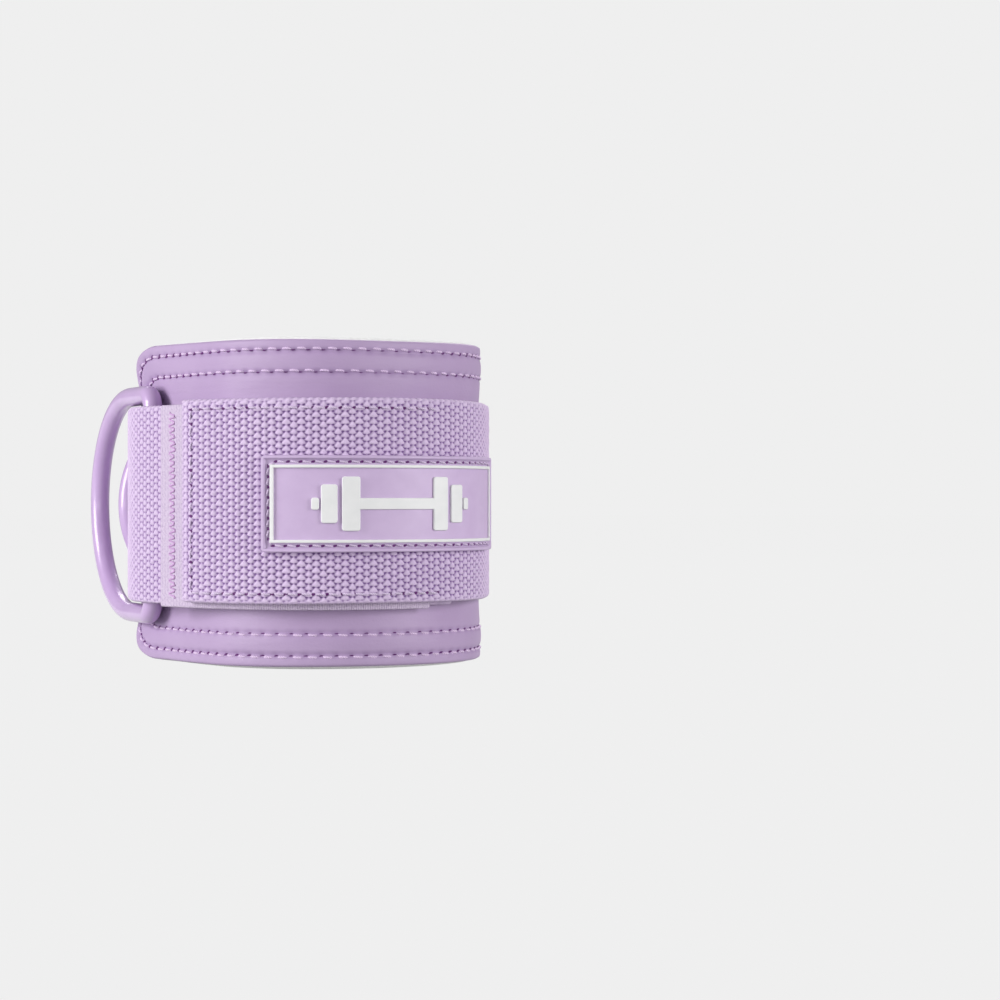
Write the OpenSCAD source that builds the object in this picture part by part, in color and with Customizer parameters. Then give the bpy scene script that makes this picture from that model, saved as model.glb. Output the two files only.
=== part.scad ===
// Ankle cuff for a cable machine: a padded cuff, a webbing strap that goes once round it
// over two D-rings, and a hook-and-loop tail that carries a rubber label.
// Millimetres, +Z up the leg, -Y at the label. The rings and the cuff's gap are at -X.
// Places along the cuff are lengths measured round its outer face, from end one, anticlockwise.

/* [Pad] */
// Height of the padded cuff
pad_h = 81.6; // [76:0.2:90]
// Thickness of the grained outer cover
cover_t = 1.4; // [1:0.1:2]
// Thickness of the foam
foam_t = 3.6; // [2.5:0.1:5]
// Thickness of the knitted lining
lining_t = 0.6; // [0.4:0.1:1]
// Radius of the pad's four corners
corner_r = 20; // [14:1:24]
// Distance from the pad's edge to the outer stitch row
outer_row = 3; // [2.5:0.5:4]
// Distance from the pad's edge to the inner stitch row
inner_row = 8.4; // [6:0.1:10]

/* [Strap] */
// Width of the webbing
strap_w = 50; // [40:1:50]
// Thickness of the webbing
strap_t = 1.9; // [1.5:0.1:2.2]
// Height of the strap's centre line where it goes round the cuff
strap_z = 40.3; // [39:0.1:42]
// Height of the tail's centre line
tail_z = 41.3; // [39:0.1:42]
// Thickness of each of the two hook-and-loop tapes
tape_t = 0.8; // [0.6:0.05:0.9]
// How far the loop tape reaches below the webbing
tape_drop = 1.2; // [0:0.1:2]
// Where the tail's cut end lies
tail_end = 48; // [45:1:56]
// Where the loop tape ends
loop_end = 37; // [35:1:42]
// Where the strap starts, under the tail
strap_start = 116; // [100:1:120]
// Where the tail starts to peel away
peel_line = 148; // [144:1:152]

/* [D-rings] */
// Diameter of the coated steel wire
wire_d = 5; // [4:0.5:5]
// Inner width of a ring, along its straight bar
ring_w = 51.6; // [51:0.2:54]
// Distance from the bar's centre to the bow's centre
ring_depth = 46.5; // [40:0.5:48]
// Bend radius at the two ends of the bar, at the wire's centre
bar_bend = 4; // [4:0.5:4.5]
// Where the front ring's bar lies
front_bar = 25; // [24:0.5:27]
// Direction in which the front ring points at rest
front_angle = 116.4; // [116:0.2:120]
// Where the rear ring's bar lies
rear_bar = 218; // [216:0.5:219]
// Direction in which the rear ring points at rest
rear_angle = 202; // [199:0.2:202]

/* [Label] */
// Height of the rubber label
label_h = 23.5; // [18:0.5:28]
// Height of the label's centre line
label_z = 40.6; // [38:0.1:43]
// Thickness of the label's plate
label_t = 1; // [0.8:0.1:1.4]
// Height of the raised rim, frame and emblem
relief_t = 0.6; // [0.4:0.1:0.8]
// Where the label starts
label_start = 69; // [66:1:72]
// Where the label ends
label_end = 131; // [126:1:134]

/* [Hidden] */

// The cuff's outer face in plan: arcs of [radius, sweep], from end one round to end two.
END_ONE = [-45.5, 6];
START_HEADING = -71;
ARCS = [[110, 10], [150, 12], [32, 50], [42, 64], [40, 108], [46, 37], [350, 4]];
// The strap closes the gap with a slack arc and a tight fold round end one.
FOLD = 60;

function turn(h, d) = [sin(h + d) - sin(h), cos(h) - cos(h + d)];
function arc_length(arc) = arc[0] * arc[1] * PI / 180;
function total(list, i = 0) = i == len(list) ? 0 : list[i] + total(list, i + 1);
function walk(arcs, i = 0, p = END_ONE, h = START_HEADING) =
    i == len(arcs) ? [p, h]
    : walk(arcs, i + 1, p + arcs[i][0] * turn(h, arcs[i][1]), h + arcs[i][1]);

pad_length = total([for (a = ARCS) arc_length(a)]);
END_TWO = walk(ARCS)[0];
end_heading = walk(ARCS)[1];
slack = 360 - total([for (a = ARCS) a[1]]) - FOLD;
c1 = turn(end_heading, slack);
c2 = turn(end_heading + slack, FOLD);
gap = END_ONE - END_TWO;
det = c1.x * c2.y - c1.y * c2.x;
slack_r = (gap.x * c2.y - gap.y * c2.x) / det;
fold_r = (c1.x * gap.y - c1.y * gap.x) / det;
LOOP = concat(ARCS, [[slack_r, slack], [fold_r, FOLD]]);
loop_length = total([for (a = LOOP) arc_length(a)]);

// The point and heading at length s along the loop, and the point at a height above the face.
function locate(s, i = 0, p = END_ONE, h = START_HEADING) =
    let (r = LOOP[i][0], a = s / r * 180 / PI)
    a <= LOOP[i][1] + 0.001 || i == len(LOOP) - 1 ? [p + r * turn(h, a), h + a]
    : locate(s - arc_length(LOOP[i]), i + 1, p + r * turn(h, LOOP[i][1]), h + LOOP[i][1]);
function wrap(s) = s < 0 ? s + loop_length : s;
function heading(s) = locate(wrap(s))[1];
function at(s, height) =
    let (q = locate(wrap(s))) q[0] + height * [sin(q[1]), -cos(q[1])];

// Heights above the pad's outer face.
bar_gap = 1.1;
bar_height = bar_gap + wire_d / 2;
strap_gap = 0.5;
wire_gap = 0.3;
layer_gap = 0.05;
touch_gap = 0.3;
rise = bar_height + wire_d / 2 + wire_gap - strap_gap;
roundness = 0.2;
ramp_power = 1.15;
front_ramps = [26, 34];
rear_ramps = [25, 34];
fade_start = 112;
fade_length = 28;
stack = strap_t + 2 * tape_t + 2 * layer_gap + touch_gap;

function smooth(x) = let (c = min(max(x, 0), 1)) c * c * (3 - 2 * c);
function ramp(u) =
    u >= 1 ? 0
    : pow(1 - (norm([u, roundness]) - roundness) / (norm([1, roundness]) - roundness), ramp_power);
function hump(s, bar, ramps) =
    let (d = s - bar, x = d > loop_length / 2 ? d - loop_length : d < -loop_length / 2 ? d + loop_length : d)
    ramp(x < 0 ? -x / ramps[0] : x / ramps[1]);
function wrap_low(s) =
    strap_gap + rise * max(hump(s, front_bar, front_ramps), hump(s, rear_bar, rear_ramps));
function wrap_top(s) = wrap_low(s) + strap_t;
function loop_low(s) = wrap_top(s) + layer_gap;
function loop_top(s) = loop_low(s) + tape_t;
function tail_low(s) = wrap_low(s) + stack * (1 - smooth((s - fade_start) / fade_length));
function tail_top(s) = tail_low(s) + strap_t;
function hook_top(s) = tail_low(s) - layer_gap;
function hook_low(s) = hook_top(s) - tape_t;
function plate_low(s) = tail_top(s) + layer_gap;
function plate_top(s) = plate_low(s) + label_t;

step = 1.2;
pad_step = 2.5;
corner_sides = 10;
thread = 0.5;
thread_t = 0.3;
mark_lift = 0.02;
edge_gap = 0.2;
peel_gap = 0.25;

cover_colour = [0.68, 0.58, 0.76];
web_colour = [0.75, 0.65, 0.83];
ring_colour = [0.62, 0.48, 0.72];
tape_colour = [0.84, 0.76, 0.88];
thread_colour = [0.55, 0.40, 0.62];
label_colour = [0.80, 0.70, 0.86];

function stations(from, to, pace) =
    let (n = ceil(abs(to - from) / pace)) [for (k = [0 : n]) from + (to - from) * k / n];

// A strip that follows the cuff between two places, two heights above its face and two levels.
module band(from, to, low, high, z0, z1, pace = step) {
    along = stations(from, to, pace);
    back = stations(to, from, pace);
    translate([0, 0, z0])
        linear_extrude(z1 - z0)
            polygon(concat([for (s = along) at(s, high(s))], [for (s = back) at(s, low(s))]));
}

// What rounds one corner off a sheet of the pad, seen square to the pad's face.
module corner_cut(s, z, along, up, r) {
    depth = 30;
    margin = 2;
    shy = 2;
    p = at(s, 0);
    pace = (90 - 2 * shy) / corner_sides;
    arc = [for (a = [180 + shy : pace : 270 - shy]) [r + r * cos(a), r + r * sin(a)]];
    last = arc[len(arc) - 1];
    outline = concat(arc, [[last.x, -margin], [-margin, -margin], [-margin, arc[0].y]]);
    translate([p.x, p.y, z])
        rotate([0, 0, heading(s)])
            translate([0, depth / 2, 0])
                rotate([90, 0, 0])
                    linear_extrude(depth)
                        polygon([for (q = outline) [along * q.x, up * q.y]]);
}

// One sheet of the pad with its round corners, set in from the pad's edge.
module pad_sheet(low, high, inset) {
    r = corner_r - inset;
    first = inset;
    last = pad_length - inset;
    top = pad_h - inset;
    difference() {
        band(first, last, function (s) low, function (s) high, inset, top, pad_step);
        corner_cut(first, inset, 1, 1, r);
        corner_cut(first, top, 1, -1, r);
        corner_cut(last, inset, -1, 1, r);
        corner_cut(last, top, -1, -1, r);
    }
}

module outer_cover() {
    color(cover_colour)
        pad_sheet(-cover_t, 0, edge_gap);
}

module foam_core() {
    color("white")
        pad_sheet(-cover_t - layer_gap - foam_t, -cover_t - layer_gap, 0);
}

module inner_lining() {
    low = -cover_t - foam_t - lining_t - 2 * layer_gap;
    color([0.86, 0.78, 0.86])
        pad_sheet(low, low + lining_t, edge_gap);
}

// A closed run of thread round the pad's face.
module edge_stitch(inset) {
    color(thread_colour)
        difference() {
            pad_sheet(mark_lift, mark_lift + thread_t, inset);
            pad_sheet(-1, 1, inset + thread);
        }
}

module edge_stitch_outer() {
    edge_stitch(outer_row);
}

module edge_stitch_inner() {
    edge_stitch(inner_row);
}

// The strap from its sewn start, over both bars and round the back to the peel line.
module strap_wrap() {
    color(web_colour)
        band(peel_line + peel_gap - loop_length, strap_start,
             function (s) wrap_low(s), function (s) wrap_top(s),
             strap_z - strap_w / 2, strap_z + strap_w / 2);
}

module strap_tail() {
    color(web_colour)
        band(tail_end, peel_line - peel_gap,
             function (s) tail_low(s), function (s) tail_top(s),
             tail_z - strap_w / 2, tail_z + strap_w / 2);
}

loop_start = 108;
hook_start = 108;
hook_end_margin = 2;

module loop_tape() {
    color(tape_colour)
        band(loop_end, loop_start,
             function (s) loop_low(s), function (s) loop_top(s),
             strap_z - strap_w / 2 - tape_drop / 2, strap_z + strap_w / 2);
}

module hook_tape() {
    inset = 1.5;
    color(tape_colour)
        band(tail_end + hook_end_margin, hook_start,
             function (s) hook_low(s), function (s) hook_top(s),
             tail_z - strap_w / 2 + inset, tail_z + strap_w / 2 - inset);
}

// A closed run of thread on a face whose height is given, between two places and two levels.
module stitch_frame(from, to, z0, z1, face) {
    low = function (s) face(s) + mark_lift;
    high = function (s) face(s) + mark_lift + thread_t;
    over = function (s) face(s) + 1;
    under = function (s) face(s) - 1;
    color(thread_colour)
        difference() {
            band(from, to, low, high, z0, z1);
            band(from + thread, to - thread, under, over, z0 + thread, z1 - thread);
        }
}

module anchor_stitch() {
    length = 5;
    margin = 4;
    color(thread_colour)
        stitch_frame(strap_start - 2 - length, strap_start - 2,
                     strap_z - strap_w / 2 + margin, strap_z + strap_w / 2 - margin,
                     function (s) wrap_top(s));
}

module loop_tape_stitch() {
    place = loop_end + 3.6;
    width = 1.4;
    margin = 1.6;
    color(thread_colour)
        stitch_frame(place, place + width,
                     strap_z - strap_w / 2 + margin, strap_z + strap_w / 2 - margin,
                     function (s) loop_top(s));
}

module tail_stitch() {
    hem = 3;
    length = 15;
    margin = 2.4;
    color(thread_colour)
        stitch_frame(tail_end + hem, tail_end + hem + length,
                     tail_z - strap_w / 2 + margin, tail_z + strap_w / 2 - margin,
                     function (s) tail_top(s));
}

// One D-ring with its bar's centre at the origin and its bow along +X.
module d_ring() {
    r = (ring_w + wire_d) / 2;
    leg = ring_depth - r;
    color(ring_colour)
        union() {
            translate([0, 0, -r + bar_bend])
                cylinder(d = wire_d, h = 2 * (r - bar_bend), $fn = 32);
            for (side = [-1, 1]) {
                translate([bar_bend, 0, side * (r - bar_bend)])
                    rotate([90, 0, 0])
                        rotate([0, 0, side > 0 ? 90 : 180])
                            rotate_extrude(angle = 90, $fn = 64)
                                translate([bar_bend, 0])
                                    circle(d = wire_d, $fn = 32);
                translate([bar_bend, 0, side * r])
                    rotate([0, 90, 0])
                        cylinder(d = wire_d, h = leg - bar_bend, $fn = 32);
            }
            translate([leg, 0, 0])
                rotate([90, 0, 0])
                    rotate([0, 0, -90])
                        rotate_extrude(angle = 180, $fn = 96)
                            translate([r, 0])
                                circle(d = wire_d, $fn = 32);
        }
}

module placed_ring(s, angle) {
    p = at(s, bar_height);
    translate([p.x, p.y, strap_z])
        rotate([0, 0, angle])
            d_ring();
}

module d_ring_front() {
    placed_ring(front_bar, front_angle);
}

module d_ring_rear() {
    placed_ring(rear_bar, rear_angle);
}

rim = 0.8;
// How far the white frame is set in, along the strap and up it.
frame_inset = [1.9, 2.3];
frame_w = 0.75;

// A raised line round the label's plate.
module label_line(inset, width, low, high) {
    far = 2;
    difference() {
        band(label_start + inset.x, label_end - inset.x, low, high,
             label_z - label_h / 2 + inset.y, label_z + label_h / 2 - inset.y);
        band(label_start + inset.x + width, label_end - inset.x - width,
             function (s) low(s) - far, function (s) high(s) + far,
             label_z - label_h / 2 + inset.y + width, label_z + label_h / 2 - inset.y - width);
    }
}

module label_base() {
    color(label_colour)
        union() {
            band(label_start, label_end, function (s) plate_low(s), function (s) plate_top(s),
                 label_z - label_h / 2, label_z + label_h / 2);
            label_line([0, 0], rim, function (s) plate_low(s), function (s) plate_top(s) + relief_t);
        }
}

module label_frame() {
    color("white")
        label_line(frame_inset, frame_w,
                   function (s) plate_top(s) + mark_lift,
                   function (s) plate_top(s) + relief_t);
}

// A raised dumbbell: [half length from the middle, half width of the plate, half height].
emblem_middle = 97.5;
EMBLEM = [[10.2, 1.9, 6.6], [14.7, 1.7, 4.7], [17.6, 0.8, 1.5]];
handle_half = 1.4;

module emblem_plate(middle, half_w, half_h) {
    band(middle - half_w, middle + half_w,
         function (s) plate_top(s) + mark_lift, function (s) plate_top(s) + relief_t,
         label_z - half_h, label_z + half_h);
}

module label_emblem() {
    color("white") {
        emblem_plate(emblem_middle, EMBLEM[0][0] - EMBLEM[0][1], handle_half);
        for (side = [-1, 1])
            for (plate = EMBLEM)
                emblem_plate(emblem_middle + side * plate[0], plate[1], plate[2]);
    }
}

module label_stitch() {
    inset = rim + 0.4;
    stitch_frame(label_start + inset, label_end - inset,
                 label_z - label_h / 2 + inset, label_z + label_h / 2 - inset,
                 function (s) plate_top(s));
}

outer_cover();
foam_core();
inner_lining();
edge_stitch_outer();
edge_stitch_inner();
strap_wrap();
strap_tail();
loop_tape();
hook_tape();
anchor_stitch();
loop_tape_stitch();
tail_stitch();
d_ring_front();
d_ring_rear();
label_base();
label_frame();
label_emblem();
label_stitch();
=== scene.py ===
"""Looks for the ankle cuff: a padded cuff, its webbing strap, two D-rings and a rubber label.

Lengths in this script are millimetres until place() turns them into metres. A point on the cuff is
(s, h, z): s is the length round the pad's outer face from end one, h the height above that face
and z the height above the floor.
"""

import math
import random

import bmesh
import bpy
import numpy as np
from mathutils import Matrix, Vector


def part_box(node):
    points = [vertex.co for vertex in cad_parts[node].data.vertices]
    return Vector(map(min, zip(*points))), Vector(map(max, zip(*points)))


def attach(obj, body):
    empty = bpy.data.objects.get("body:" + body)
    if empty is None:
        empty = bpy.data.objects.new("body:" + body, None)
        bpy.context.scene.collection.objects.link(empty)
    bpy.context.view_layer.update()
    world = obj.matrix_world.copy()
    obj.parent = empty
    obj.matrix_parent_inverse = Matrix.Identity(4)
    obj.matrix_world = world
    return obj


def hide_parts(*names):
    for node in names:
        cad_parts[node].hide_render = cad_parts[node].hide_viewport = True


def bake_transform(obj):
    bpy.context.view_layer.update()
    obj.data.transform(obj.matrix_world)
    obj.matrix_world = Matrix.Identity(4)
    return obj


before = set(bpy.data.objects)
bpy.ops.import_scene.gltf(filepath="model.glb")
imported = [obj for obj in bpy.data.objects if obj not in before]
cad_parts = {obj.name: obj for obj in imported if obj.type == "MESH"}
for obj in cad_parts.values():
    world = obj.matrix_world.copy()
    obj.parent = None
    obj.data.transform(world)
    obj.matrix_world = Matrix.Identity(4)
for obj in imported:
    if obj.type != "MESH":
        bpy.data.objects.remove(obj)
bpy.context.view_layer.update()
rng = random.Random(7)

MM = 0.001

# ---------------------------------------------------------------- driving dimensions

PAD_H = (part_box("foam_core")[1].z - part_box("foam_core")[0].z) / MM
STRAP_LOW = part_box("strap_wrap")[0].z / MM
STRAP_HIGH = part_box("strap_wrap")[1].z / MM
TAIL_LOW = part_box("strap_tail")[0].z / MM
TAIL_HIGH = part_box("strap_tail")[1].z / MM
LABEL_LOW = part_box("label_base")[0].z / MM
LABEL_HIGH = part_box("label_base")[1].z / MM
LABEL_MID = (LABEL_LOW + LABEL_HIGH) / 2

COVER_T = 1.4
FOAM_T = 3.6
LINING_T = 0.6
CORNER_R = 20
OUTER_ROW = 3.0
INNER_ROW = 8.4
STRAP_T = 1.9
TAPE_T = 0.8
TAIL_END = 48
LOOP_END = 37
STRAP_START = 116
PEEL_LINE = 148
TAPE_START = 108
WIRE_D = 5
RING_DEPTH = 46.5
BAR_BEND = 4
FRONT_BAR = 25
FRONT_ANGLE = 116.4
REAR_BAR = 218
REAR_ANGLE = 202
LABEL_START = 69
LABEL_END = 131
LABEL_T = 1.0
RELIEF_T = 0.6

# ---------------------------------------------------------------- the cuff's outline in plan

END_ONE = np.array([-45.5, 6.0])
START_HEADING = -71
ARCS = [(110, 10), (150, 12), (32, 50), (42, 64), (40, 108), (46, 37), (350, 4)]
FOLD = 60


def turn(heading, sweep):
    """The chord of an arc of radius 1 that starts at a heading, both angles in degrees."""
    a, b = math.radians(heading), math.radians(heading + sweep)
    return np.array([math.sin(b) - math.sin(a), math.cos(a) - math.cos(b)])


def closed_loop():
    """The pad's arcs and the two with which the strap closes the gap, as rows of numbers."""
    point, heading = END_ONE, START_HEADING
    for radius, sweep in ARCS:
        point = point + radius * turn(heading, sweep)
        heading += sweep
    slack = 360 - sum(sweep for _, sweep in ARCS) - FOLD
    chords = np.stack([turn(heading, slack), turn(heading + slack, FOLD)], 1)
    slack_r, fold_r = np.linalg.solve(chords, END_ONE - point)
    rows = []
    point, heading, start = END_ONE, START_HEADING, 0.0
    for radius, sweep in ARCS + [(slack_r, slack), (fold_r, FOLD)]:
        rows.append((start, point[0], point[1], math.radians(heading), radius))
        point = point + radius * turn(heading, sweep)
        heading += sweep
        start += radius * math.radians(sweep)
    return np.array(rows), start


LOOP, LOOP_LENGTH = closed_loop()
PAD_LENGTH = sum(radius * math.radians(sweep) for radius, sweep in ARCS)


def locate(s):
    """Plan point and outward normal at length s."""
    s = np.mod(np.asarray(s, float), LOOP_LENGTH)
    row = LOOP[np.searchsorted(LOOP[:, 0], s, side="right") - 1]
    start, x, y, heading, radius = np.moveaxis(row, -1, 0)
    angle = heading + (s - start) / radius
    x = x + radius * (np.sin(angle) - np.sin(heading))
    y = y + radius * (np.cos(heading) - np.cos(angle))
    return x, y, np.sin(angle), -np.cos(angle)


def place(s, h, z):
    """Points in metres in the row frame."""
    s, h, z = np.broadcast_arrays(np.asarray(s, float), np.asarray(h, float), np.asarray(z, float))
    x, y, nx, ny = locate(s)
    return np.stack([x + h * nx, y + h * ny, z], -1) * MM


# ---------------------------------------------------------------- heights of the layers

BAR_GAP = 1.1
BAR_HEIGHT = BAR_GAP + WIRE_D / 2
STRAP_GAP = 0.5
WIRE_GAP = 0.3
RISE = BAR_HEIGHT + WIRE_D / 2 + WIRE_GAP - STRAP_GAP
ROUNDNESS = 0.2
RAMP_POWER = 1.15
FRONT_RAMPS = (26, 34)
REAR_RAMPS = (25, 34)
FADE_START = 112
FADE_LENGTH = 28
LAYER_GAP = 0.05
STACK_SLACK = 0.3
STACK = STRAP_T + 2 * TAPE_T + 2 * LAYER_GAP + STACK_SLACK


def smooth(x):
    """A soft step from 0 to 1."""
    x = np.clip(x, 0, 1)
    return x * x * (3 - 2 * x)


def hump(s, bar, ramps):
    """How far the strap stands out over a ring's bar, from 0 on the pad to 1 on the bar."""
    x = np.mod(s - bar + LOOP_LENGTH / 2, LOOP_LENGTH) - LOOP_LENGTH / 2
    u = np.where(x < 0, -x / ramps[0], x / ramps[1])
    fall = (np.hypot(u, ROUNDNESS) - ROUNDNESS) / (math.hypot(1, ROUNDNESS) - ROUNDNESS)
    return np.clip(1 - fall, 0, 1) ** RAMP_POWER


def wrap_low(s):
    """Height of the strap's inner face. The other layers are stacked on it."""
    s = np.asarray(s, float)
    return STRAP_GAP + RISE * np.maximum(hump(s, FRONT_BAR, FRONT_RAMPS), hump(s, REAR_BAR, REAR_RAMPS))


def wrap_top(s):
    return wrap_low(s) + STRAP_T


def tail_low(s):
    return wrap_low(s) + STACK * (1 - smooth((np.asarray(s, float) - FADE_START) / FADE_LENGTH))


def tail_top(s):
    return tail_low(s) + STRAP_T


def plate_top(s):
    return tail_top(s) + LAYER_GAP + LABEL_T


# ---------------------------------------------------------------- materials


class Nodes:
    """A material's node tree, with short calls for adding and joining nodes."""

    def __init__(self, name, **values):
        self.material = bpy.data.materials.new(name)
        self.material.use_nodes = True
        self.tree = self.material.node_tree
        self.shader = self.tree.nodes["Principled BSDF"]
        for socket, value in values.items():
            self.shader.inputs[socket.replace("_", " ")].default_value = value

    def add(self, kind, inputs=None, **settings):
        node = self.tree.nodes.new(kind)
        for key, value in settings.items():
            setattr(node, key, value)
        for key, value in (inputs or {}).items():
            self.feed(node.inputs[key], value)
        return node

    def feed(self, socket, value):
        if isinstance(value, bpy.types.NodeSocket):
            self.tree.links.new(value, socket)
        else:
            socket.default_value = value

    def attribute(self, name):
        return self.add("ShaderNodeAttribute", attribute_name=name)

    def math(self, operation, a, b=0.0):
        return self.add("ShaderNodeMath", {0: a, 1: b}, operation=operation).outputs[0]

    def scaled(self, vector, scale):
        inputs = {"Vector": vector, "Scale": scale}
        return self.add("ShaderNodeMapping", inputs, vector_type="POINT").outputs[0]

    def noise(self, vector, scale, detail=3.0, roughness=0.5):
        inputs = {"Vector": vector, "Scale": scale, "Detail": detail, "Roughness": roughness}
        return self.add("ShaderNodeTexNoise", inputs).outputs["Fac"]

    def voronoi(self, vector, scale):
        inputs = {"Vector": vector, "Scale": scale}
        return self.add("ShaderNodeTexVoronoi", inputs).outputs["Distance"]

    def ramp(self, factor, stops):
        node = self.add("ShaderNodeValToRGB", {"Fac": factor})
        elements = node.color_ramp.elements
        while len(elements) < len(stops):
            elements.new(0.5)
        for element, (position, color) in zip(elements, stops):
            element.position = position
            element.color = (*color, 1)
        return node.outputs["Color"]

    def mix(self, factor, a, b):
        node = self.add("ShaderNodeMix", data_type="RGBA")
        self.feed(node.inputs["Factor"], factor)
        self.feed(node.inputs["A"], a)
        self.feed(node.inputs["B"], b)
        return node.outputs["Result"]

    def bump(self, height, strength, distance, normal=None):
        inputs = {"Height": height, "Strength": strength, "Distance": distance}
        if normal is not None:
            inputs["Normal"] = normal
        return self.add("ShaderNodeBump", inputs).outputs["Normal"]

    def finish(self, color, normal=None, roughness=None):
        self.feed(self.shader.inputs["Base Color"], color)
        if normal is not None:
            self.feed(self.shader.inputs["Normal"], normal)
        if roughness is not None:
            self.feed(self.shader.inputs["Roughness"], roughness)
        return self.material


def rgb(*values):
    """A colour as a shader socket takes it."""
    return (*values, 1)


def cover_material():
    """Grained lilac sheet: fine pebbles, faint blotches, and painted shade in the stitch grooves, the
    needle dents and along the rounded edge.
    """
    n = Nodes("grained_cover", Specular_IOR_Level=0.35)
    flat = n.attribute("flat").outputs["Vector"]
    shade = n.attribute("shade").outputs["Fac"]
    blotch = n.noise(flat, 0.05, 2.0)
    base = n.ramp(blotch, [(0.3, (0.425, 0.305, 0.50)), (0.7, (0.465, 0.34, 0.54))])
    # Painted shade: the shade attribute darkens the sheet in the stitch grooves, the needle dents and where
    # its face rounds off at the edge.
    color = n.mix(shade, base, rgb(0.27, 0.16, 0.35))
    pebbles = n.voronoi(flat, 1.5)
    pores = n.noise(flat, 3.2, 4.0, 0.65)
    grain = n.math("ADD", n.math("MULTIPLY", pebbles, 0.7), n.math("MULTIPLY", pores, 0.5))
    creases = n.noise(n.scaled(flat, (0.12, 0.5, 1)), 1.0, 3.0)
    normal = n.bump(creases, 0.12, 0.0012, n.bump(grain, 0.16, 0.00022))
    roughness = n.math("ADD", n.math("MULTIPLY", pores, 0.16), 0.44)
    return n.finish(color, normal, roughness)


def foam_material():
    """White foam with fine cells."""
    n = Nodes("white_foam", Roughness=0.85, Specular_IOR_Level=0.2, Sheen_Weight=0.1)
    flat = n.attribute("flat").outputs["Vector"]
    cloud = n.noise(flat, 0.7, 3.0)
    color = n.ramp(cloud, [(0.25, (0.80, 0.795, 0.79)), (0.75, (0.90, 0.90, 0.90))])
    return n.finish(color, n.bump(n.voronoi(flat, 3.0), 0.25, 0.0002))


def lining_material():
    """Knitted spacer mesh: rows of small eyes, darkened with painted shade, in a pale pinkish ground."""
    n = Nodes(
        "knitted_lining", Roughness=0.9, Specular_IOR_Level=0.15, Sheen_Weight=0.25, Sheen_Roughness=0.5
    )
    flat = n.attribute("flat").outputs["Vector"]
    x, y, _ = n.add("ShaderNodeSeparateXYZ", {0: flat}).outputs
    across = n.math("ABSOLUTE", n.math("SINE", n.math("MULTIPLY", x, math.pi / 1.5)))
    row = n.math("ADD", n.math("MULTIPLY", y, math.pi / 1.1), n.math("MULTIPLY", across, 0.9))
    along = n.math("ABSOLUTE", n.math("SINE", row))
    loops = n.math("MULTIPLY", n.math("POWER", across, 0.6), n.math("POWER", along, 0.6))
    fuzz = n.noise(flat, 4.0, 3.0, 0.7)
    yarn = n.math("ADD", loops, n.math("MULTIPLY", fuzz, 0.3))
    # The colour follows the knit's height: painted shade in the eyes and between the loops.
    stops = [(0.15, (0.40, 0.27, 0.44)), (0.55, (0.64, 0.51, 0.67)), (1.0, (0.74, 0.63, 0.76))]
    color = n.ramp(yarn, stops)
    return n.finish(color, n.bump(yarn, 0.6, 0.0004))


def webbing_material():
    """Woven nylon: the relief is in the mesh, and filaments, wear and painted shade in the gaps between the
    yarns are here.
    """
    n = Nodes(
        "woven_webbing", Roughness=0.62, Specular_IOR_Level=0.35, Sheen_Weight=0.18, Sheen_Roughness=0.45
    )
    flat = n.attribute("flat").outputs["Vector"]
    relief = n.attribute("shade").outputs["Fac"]
    filament = n.noise(n.scaled(flat, (5.5, 1.6, 1)), 1.0, 3.0, 0.7)
    patch = n.noise(flat, 0.11, 2.0)
    light = n.mix(patch, rgb(0.77, 0.62, 0.845), rgb(0.85, 0.71, 0.905))
    yarn = n.mix(n.math("MULTIPLY", filament, 0.75), light, rgb(0.52, 0.365, 0.63))
    # Painted shade in the weave's gaps: the lower the relief, the darker the yarn.
    gap_shade = n.ramp(relief, [(0.35, (1, 1, 1)), (0.55, (0.55, 0.55, 0.55)), (0.85, (0, 0, 0))])
    color = n.mix(gap_shade, yarn, rgb(0.22, 0.11, 0.33))
    return n.finish(color, n.bump(filament, 0.6, 0.0003))


def tape_material(name, hooked):
    """Hook-and-loop tape: fine ribs under a matted pile, or rows of small hooks, with painted shade where
    the pile or the rows dip.
    """
    n = Nodes(name, Roughness=0.8, Specular_IOR_Level=0.25, Sheen_Weight=0.35, Sheen_Roughness=0.4)
    flat = n.attribute("flat").outputs["Vector"]
    x, y, _ = n.add("ShaderNodeSeparateXYZ", {0: flat}).outputs
    ribs = n.math("ABSOLUTE", n.math("SINE", n.math("MULTIPLY", x, math.pi / 0.55)))
    if hooked:
        dots = n.math("ABSOLUTE", n.math("SINE", n.math("MULTIPLY", y, math.pi / 0.9)))
        pile = n.math("MULTIPLY", ribs, dots)
    else:
        tangle = n.noise(n.scaled(flat, (1.2, 1.0, 1)), 1.5, 4.0, 0.8)
        pile = n.math("ADD", n.math("MULTIPLY", ribs, 0.3), n.math("MULTIPLY", tangle, 1.1))
    # The colour follows the pile's height: painted shade where it is low.
    stops = [(0.45, (0.44, 0.32, 0.52)), (0.65, (0.60, 0.48, 0.67)), (0.85, (0.72, 0.61, 0.77))]
    color = n.ramp(pile, stops)
    return n.finish(color, n.bump(pile, 0.7, 0.0004))


def thread_material(name, light, dark):
    """Twisted thread: slanting plies across each stitch, with painted shade between the plies."""
    n = Nodes(name, Roughness=0.5, Specular_IOR_Level=0.4, Sheen_Weight=0.2)
    flat = n.attribute("flat").outputs["Vector"]
    x, y, _ = n.add("ShaderNodeSeparateXYZ", {0: flat}).outputs
    ply = n.math("SINE", n.math("ADD", n.math("MULTIPLY", x, 12.0), n.math("MULTIPLY", y, 9.0)))
    # Painted shade: the colour darkens where the plies dip.
    color = n.mix(n.math("MULTIPLY_ADD", ply, 0.5), rgb(*dark), rgb(*light))
    return n.finish(color, n.bump(ply, 0.4, 0.00008))


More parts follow.
